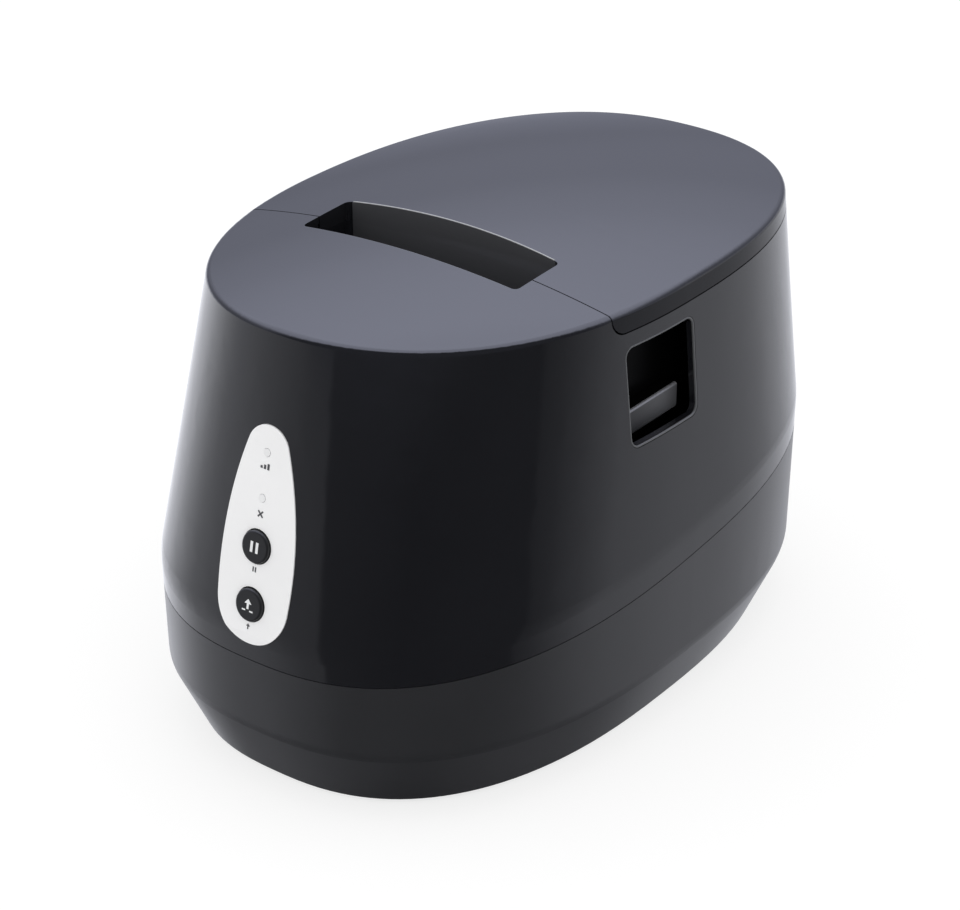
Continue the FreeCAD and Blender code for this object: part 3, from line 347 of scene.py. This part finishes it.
FINISHES = {
    "casing_plastic": casing_surface(SLOT_PAINTED_LIGHT),
    "base_plastic": surface((0.0235, 0.024, 0.027), rough=0.3, vary=0.06, grain=2600.0,
                            depth=0.00002, strength=0.25, rough_vary=0.04, ior=1.55),
    "panel_white": surface((0.885, 0.885, 0.89), rough=0.32, vary=0.01, grain=1500.0,
                           depth=0.000006, strength=0.1, rough_vary=0.04),
    "key_plastic": surface(KEY_BLACK, rough=0.36, vary=0.06, grain=2400.0,
                           depth=0.00001, strength=0.2),
    "lamp_lens": surface((0.81, 0.815, 0.82), rough=0.22, vary=0.02, grain=900.0,
                         depth=0.000008, strength=0.1),
    "inner_black": surface((0.008, 0.008, 0.0085), rough=0.42, vary=0.08, grain=2200.0,
                           depth=0.00002, strength=0.3),
    "roller_rubber": surface((0.028, 0.028, 0.03), rough=0.62, vary=0.15, grain=3200.0,
                             depth=0.00003, strength=0.4),
    "foot_rubber": surface((0.018, 0.018, 0.018), rough=0.72, vary=0.15, grain=1600.0,
                           depth=0.00005, strength=0.5),
    "shaft_steel": brushed((0.60, 0.61, 0.62), rough=0.26, stretch=LINES_X),
    "plate_steel": brushed((0.55, 0.56, 0.56), rough=0.34, stretch=LINES_Z),
    "gear_plastic": surface((0.74, 0.73, 0.67), rough=0.42, vary=0.04, grain=1500.0,
                            depth=0.00002, strength=0.2),
    "motor_steel": brushed((0.46, 0.47, 0.48), rough=0.33, stretch=LINES_X),
    "sink_aluminium": brushed((0.70, 0.71, 0.72), rough=0.33, stretch=LINES_X),
    "strip_ceramic": surface((0.66, 0.64, 0.56), rough=0.2, vary=0.03, grain=1500.0,
                             depth=0.000006, strength=0.1),
    "board_green": surface((0.012, 0.10, 0.04), rough=0.38, vary=0.25, grain=420.0,
                           depth=0.00003, strength=0.25),
    "chip_black": surface((0.016, 0.016, 0.017), rough=0.5, vary=0.1, grain=2600.0,
                          depth=0.00002, strength=0.3),
    "bearing_plastic": surface((0.07, 0.07, 0.072), rough=0.45, vary=0.1, grain=1800.0,
                               depth=0.00002, strength=0.3),
}
LEVER_FINISH = surface((0.0012, 0.0012, 0.0013), rough=0.4, vary=0.08, grain=2200.0,
                       depth=0.00001, strength=0.2, specular=0.04, patches=PADDLE_TONE_AND_PAINTED_LIGHT)

materials = {slot: material(slot, build) for slot, build in FINISHES.items()}
slot_of = {entry["node"]: entry["material_slot"] for entry in frame["record"]["subparts"]}
lever_look = material("lever_black", LEVER_FINISH)
# The lid: casing plastic with painted shade on its rim and painted light on the slot walls.
lid_look = material("lid_plastic", casing_surface(SKIRT_PAINTED_SHADE, SLOT_PAINTED_LIGHT))
ink_white = material("ink_white", ink((0.80, 0.81, 0.82), vary=0.03))
ink_grey = material("ink_grey", ink((0.07, 0.07, 0.075), vary=0.1))
# Painted highlight: the finger window lips are much paler than the casing; the lip itself is real shape.
lip_highlight_look = material("lip_painted_highlight", painted_highlight_surface((0.085, 0.087, 0.092), vary=0.05))
# Painted highlight: a pale grey bead along the rear edge of the paper slot.
slot_highlight_look = material("slot_painted_highlight", painted_highlight_surface((0.46, 0.465, 0.48), vary=0.03))
look_of = {"right_release_lever": lever_look, "left_release_lever": lever_look, "top_cover": lid_look}

for name, obj in nodes.items():
    obj.data.materials.clear()
    obj.data.materials.append(look_of.get(name, materials[slot_of[name]]))


# Objects added to the scene; pieces of the printer ride on a body of the frame.
def linked(name, mesh, mat):
    mesh.materials.append(mat)
    obj = bpy.data.objects.new(name, mesh)
    scene.collection.objects.link(obj)
    return obj


def add_piece(name, form, mat, body):
    """Turn a finished form into an object that rides on a body."""
    bmesh.ops.recalc_face_normals(form, faces=form.faces)
    mesh = bpy.data.meshes.new(name)
    form.to_mesh(mesh)
    form.free()
    obj = linked(name, mesh, mat)
    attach(obj, body)


# Printed symbols on the front panel and keys, generic signs only.
KEY_PLACE = Vector(joints["pause_press"]["pos_m"])
OUT = -Vector(joints["pause_press"]["axis"])
RISE = Vector((0, OUT.z, -OUT.y))
PAUSE_Z = joints["pause_press"]["pos_m"][2]
FEED_Z = joints["feed_press"]["pos_m"][2]
MARK_DROP = 0.0070
READY_Z = 0.1072
STOP_Z = 0.0930
PRINT_LIFT = 0.00004
PRINT_DEPTH = 0.00006
RAY_START = 0.02


def panel_point(height):
    """Point in front of the panel's middle line, from which rays are sent back to the face."""
    return KEY_PLACE + RISE * ((height - KEY_PLACE.z) / RISE.z) + OUT * RAY_START


def decal(name, loops, height, carrier, mat, body):
    """Thin printed shapes: closed loops of (x, rise) points in metres, laid on a CAD node's front face."""
    form = bmesh.new()
    start = panel_point(height)
    for loop in loops:
        verts = []
        for x, rise in loop:
            spot = nodes[carrier].ray_cast(start + Vector((x, 0, 0)) + RISE * rise, -OUT)[1]
            verts.append(form.verts.new(spot + OUT * PRINT_LIFT))
        grown = bmesh.ops.extrude_face_region(form, geom=[form.faces.new(verts)])
        moved = [item for item in grown["geom"] if isinstance(item, bmesh.types.BMVert)]
        bmesh.ops.translate(form, verts=moved, vec=OUT * PRINT_DEPTH)
    add_piece(name, form, mat, body)


def bar(left, right, foot, top):
    return [(left, foot), (right, foot), (right, top), (left, top)]


def tilted_bar(length, width, turn):
    """Bar through the middle, turned by an angle."""
    cosine = math.cos(turn)
    sine = math.sin(turn)
    level_bar = bar(-length / 2, length / 2, -width / 2, width / 2)
    return [(x * cosine - rise * sine, x * sine + rise * cosine) for x, rise in level_bar]


def scaled(loops, size):
    return [[(x * size, rise * size) for x, rise in loop] for loop in loops]


# The signs themselves, drawn in millimetres about their own middle.
def pause_bars():
    inner = 0.55
    outer = 1.5
    half_height = 1.7
    return [bar(-outer, -inner, -half_height, half_height), bar(inner, outer, -half_height, half_height)]


def arrow():
    shaft = 0.4
    head = 1.35
    foot = -1.2
    neck = 0.5
    tip = 2.0
    return [(-shaft, foot), (shaft, foot), (shaft, neck), (head, neck), (0, tip),
            (-head, neck), (-shaft, neck)]


def feed_arrow():
    """Arrow rising between two short bars, the edges of a slot."""
    inner = 0.8
    outer = 2.1
    foot = -1.9
    top = -1.45
    return [arrow(), bar(-outer, -inner, foot, top), bar(inner, outer, foot, top)]


def rising_steps():
    left = -1.9
    width = 0.8
    pitch = 1.3
    foot = -0.7
    first_top = 0.1
    rise = 0.5
    count = 3
    return [bar(left + pitch * n, left + width + pitch * n, foot, first_top + rise * n) for n in range(count)]


def cross():
    length = 2.6
    width = 0.5
    return [tilted_bar(length, width, math.radians(turn)) for turn in (45, -45)]


PAUSE_MARK_SIZE = 0.45
FEED_MARK_SIZE = 0.55
pause_mark = scaled(pause_bars(), PAUSE_MARK_SIZE)
feed_mark = scaled([arrow()], FEED_MARK_SIZE)
SIGNS = (
    ("pause_sign", pause_bars(), PAUSE_Z, "pause_button", ink_white, "pause_key"),
    ("feed_sign", feed_arrow(), FEED_Z, "feed_button", ink_white, "feed_key"),
    ("ready_sign", rising_steps(), READY_Z, "control_panel", ink_grey, "printer_body"),
    ("stop_sign", cross(), STOP_Z, "control_panel", ink_grey, "printer_body"),
    ("pause_mark", pause_mark, PAUSE_Z - MARK_DROP, "control_panel", ink_grey, "printer_body"),
    ("feed_mark", feed_mark, FEED_Z - MARK_DROP, "control_panel", ink_grey, "printer_body"),
)
for name, loops, height, carrier, mat, body in SIGNS:
    decal(name, scaled(loops, MM), height, carrier, mat, body)


# Rounded lip in the stepped edge of each finger window, in a paler colour as a painted highlight, and a thin
# bead along the rear edge of the paper slot that carries a painted highlight.
WINDOW_Y = (-0.029, 0.0032)
WINDOW_Z = (0.104, 0.135)
WINDOW_CORNER = 0.003
LIP_OFFSET = 0.0004
LIP_RADIUS = 0.00042
LIP_LIFT = 0.0003
CORNER_STEPS = 6
SIDE_STEPS = 8
EDGE_RADIUS = 0.00022
EDGE_INSET = 0.0022
EDGE_STEPS = 40
BEAD_SIDES = 10
OUTSIDE = 0.05
BESIDE_CASING = cad_box[1].x + OUTSIDE
ABOVE_LID = cad_box[1].z + OUTSIDE


def bead(name, path, radius, closed, mat, body):
    """Round bead along a path of (middle, first direction, second direction) across it."""
    form = bmesh.new()
    turns = [FULL_TURN * n / BEAD_SIDES for n in range(BEAD_SIDES)]
    rings = []
    for middle, first, second in path:
        outward = [first * math.cos(turn) + second * math.sin(turn) for turn in turns]
        rings.append([form.verts.new(middle + direction * radius) for direction in outward])
    pairs = list(zip(rings, rings[1:]))
    if closed:
        pairs.append((rings[-1], rings[0]))
    else:
        form.faces.new(rings[0])
        form.faces.new(rings[-1])
    for ring, following in pairs:
        for n in range(BEAD_SIDES):
            m = (n + 1) % BEAD_SIDES
            form.faces.new((ring[n], ring[m], following[m], following[n])).smooth = True
    add_piece(name, form, mat, body)


def window_outline():
    """Points around the window with their outward directions, corners as arcs and sides in short runs."""
    front = WINDOW_Y[0] + WINDOW_CORNER
    rear = WINDOW_Y[1] - WINDOW_CORNER
    low = WINDOW_Z[0] + WINDOW_CORNER
    high = WINDOW_Z[1] - WINDOW_CORNER
    arcs = []
    for quarter, (y, z) in enumerate(((rear, high), (front, high), (front, low), (rear, low))):
        turns = [QUARTER_TURN * (quarter + n / CORNER_STEPS) for n in range(CORNER_STEPS + 1)]
        outward = [Vector((0, math.cos(turn), math.sin(turn))) for turn in turns]
        middle = Vector((0, y, z))
        arcs.append([(middle + out * (WINDOW_CORNER + LIP_OFFSET), out) for out in outward])
    points = []
    for arc, following in zip(arcs, arcs[1:] + arcs[:1]):
        end, out = arc[-1]
        start = following[0][0]
        points += arc
        points += [(end.lerp(start, n / SIDE_STEPS), out) for n in range(1, SIDE_STEPS)]
    return points


# Each lip is a real rounded bead; its pale colour is a painted highlight.
def window_lip(name, side):
    proud = Vector((side, 0, 0))
    path = []
    for point, out in window_outline():
        spot = nodes["main_casing"].ray_cast(point + proud * BESIDE_CASING, -proud)[1]
        path.append((spot + proud * LIP_LIFT, out, proud))
    bead(name, path, LIP_RADIUS, True, lip_highlight_look, "printer_body")


# Thin pale bead laid on the lid along the slot's rear edge, a painted highlight.
def slot_highlight_bead():
    half = SLOT_HALF - EDGE_INSET
    backward = Vector((0, 1, 0))
    path = []
    for step in range(EDGE_STEPS + 1):
        x = half * (2 * step / EDGE_STEPS - 1)
        y = SLOT_REAR + SLOT_BOW * (1 - (x / SLOT_HALF) ** 2) + EDGE_TOLERANCE
        spot = nodes["top_cover"].ray_cast(Vector((x, y, ABOVE_LID)), -UP)[1]
        path.append((spot, backward, UP))
    bead("slot_highlight_bead", path, EDGE_RADIUS, False, slot_highlight_look, "lid")


window_lip("right_window_lip", 1)
window_lip("left_window_lip", -1)
slot_highlight_bead()


# Studio: white room; reflections see a pale floor, a dark front and a soft light behind.
TOP_LEVEL = 2.2
# Levels by degrees round from the photo's side, then by degrees above the horizon.
AROUND = ((-180, 1.1), (-135, 1.45), (-122, 1.26), (-104, 0.84), (-88, 0.67), (-70, 0.42), (-58, 0.29),
          (-46.5, 0.25), (-44.5, 0.07), (-20, 0.04), (0, 0.02), (56, 0.04), (57.5, 0.10), (64, 0.16),
          (75, 0.34), (87, 0.57), (112, 0.60), (122, 0.66), (130, 0.80), (146, 0.95))
ABOVE = ((0, 0.45), (5, 0.45), (9, 0.46), (13, 0.57), (19, 0.71), (25.7, 1.04), (29, 1.26), (41, 1.98),
         (60, 2.2))
DARK_FRONT = (0.05, 0.05, 0.05, 1)
LOW_TINT = (0.97, 0.985, 1.06, 1)
HIGH_TINT = (0.92, 0.96, 1.20, 1)
FRONT_FADE = (0.05, 0.35)
BEHIND_FADE = (-0.15, 0.05)
NEAR_HORIZON = (-0.08, 0.02)
FAR_HORIZON = (-0.22, 0.06)
UNDER_FADE = (-0.8, -0.54)
UNDER_LEVEL = 0.2


def room_axes(tree):
    """Parts of a direction in the room: towards the photo's side, across it, and up."""
    coords = tree.nodes.new("ShaderNodeTexCoord")
    turned = tree.nodes.new("ShaderNodeVectorRotate")
    turned.rotation_type = "Z_AXIS"
    turned.inputs["Angle"].default_value = QUARTER_TURN - AZIMUTH
    link(tree, coords.outputs["Generated"], turned.inputs["Vector"])
    split = tree.nodes.new("ShaderNodeSeparateXYZ")
    link(tree, turned.outputs["Vector"], split.inputs["Vector"])
    return split.outputs["X"], split.outputs["Y"], split.outputs["Z"]


def horizon(tree, front, height):
    """Zero below the horizon and one above it, with a wider change behind the object."""
    near = blend(tree, *NEAR_HORIZON, height)
    far = blend(tree, *FAR_HORIZON, height)
    behind = spread(tree, blend(tree, *BEHIND_FADE, front), 1.0, 0.0)
    change = times(tree, behind, math_node(tree, "SUBTRACT", far, near))
    return math_node(tree, "ADD", near, change)


def lower_room(tree, front, across, height):
    """Floor and low walls by the angle round the object, darker underneath."""
    angle = math_node(tree, "ARCTAN2", across, front)
    share = math_node(tree, "ADD", times(tree, angle, 1 / FULL_TURN), MIDDLE)
    pairs = [(MIDDLE + math.radians(turn) / FULL_TURN, level / TOP_LEVEL) for turn, level in AROUND]
    around = stops(tree, share, pairs)
    shade = spread(tree, blend(tree, *UNDER_FADE, height), UNDER_LEVEL, 1.0)
    return mixed(tree, shade, BLACK, around)


def upper_room(tree, front, height):
    """Walls and ceiling by height, dark towards the photo's side."""
    pairs = [(math.sin(math.radians(rise)), level / TOP_LEVEL) for rise, level in ABOVE]
    return mixed(tree, blend(tree, *FRONT_FADE, front), stops(tree, height, pairs), DARK_FRONT)


def studio():
    world = bpy.data.worlds.new("studio")
    scene.world = world
    world.use_nodes = True
    tree = world.node_tree
    tree.nodes.clear()
    front, across, height = room_axes(tree)
    upper = horizon(tree, front, height)
    level = mixed(tree, upper, lower_room(tree, front, across, height), upper_room(tree, front, height))
    reflected = tree.nodes.new("ShaderNodeBackground")
    link(tree, mixed(tree, upper, LOW_TINT, HIGH_TINT), reflected.inputs["Color"])
    link(tree, times(tree, level, TOP_LEVEL), reflected.inputs["Strength"])
    plain = tree.nodes.new("ShaderNodeBackground")
    plain.inputs["Color"].default_value = WHITE
    plain.inputs["Strength"].default_value = 1.0
    rays = tree.nodes.new("ShaderNodeLightPath")
    choose = tree.nodes.new("ShaderNodeMixShader")
    link(tree, rays.outputs["Is Glossy Ray"], choose.inputs["Fac"])
    link(tree, plain.outputs["Background"], choose.inputs[1])
    link(tree, reflected.outputs["Background"], choose.inputs[2])
    output = tree.nodes.new("ShaderNodeOutputWorld")
    link(tree, choose.outputs["Shader"], output.inputs["Surface"])


studio()


# White floor, which the camera sees nearly as pale as the background.
FLOOR_HALF = 6.0
FLOOR_SCALE = 1.5
FLOOR_DETAIL = 2.0
FLOOR_LOW = (0.94, 0.94, 0.94)
FLOOR_HIGH = (0.95, 0.95, 0.95)
FLOOR_ROUGH = 0.9
SEEN_TONE = (0.32, 0.32, 0.32, 1)
SEEN_GLOW = 0.74


def floor_build(tree, shader):
    rays = tree.nodes.new("ShaderNodeLightPath")
    to_camera = rays.outputs["Is Camera Ray"]
    tone = ramp(tree, noise(tree, FLOOR_SCALE, FLOOR_DETAIL), FLOOR_LOW, FLOOR_HIGH)
    link(tree, mixed(tree, to_camera, tone, SEEN_TONE), shader.inputs["Base Color"])
    shader.inputs["Roughness"].default_value = FLOOR_ROUGH
    shader.inputs["Specular IOR Level"].default_value = 0.0
    shader.inputs["Emission Color"].default_value = WHITE
    link(tree, times(tree, to_camera, SEEN_GLOW), shader.inputs["Emission Strength"])


def white_floor():
    mesh = bpy.data.meshes.new("floor")
    corners = [(x * FLOOR_HALF, y * FLOOR_HALF, 0) for x, y in ((-1, -1), (1, -1), (1, 1), (-1, 1))]
    mesh.from_pydata(corners, [], [(0, 1, 2, 3)])
    obj = linked("floor", mesh, material("floor_white", floor_build))
    obj.visible_glossy = False


white_floor()
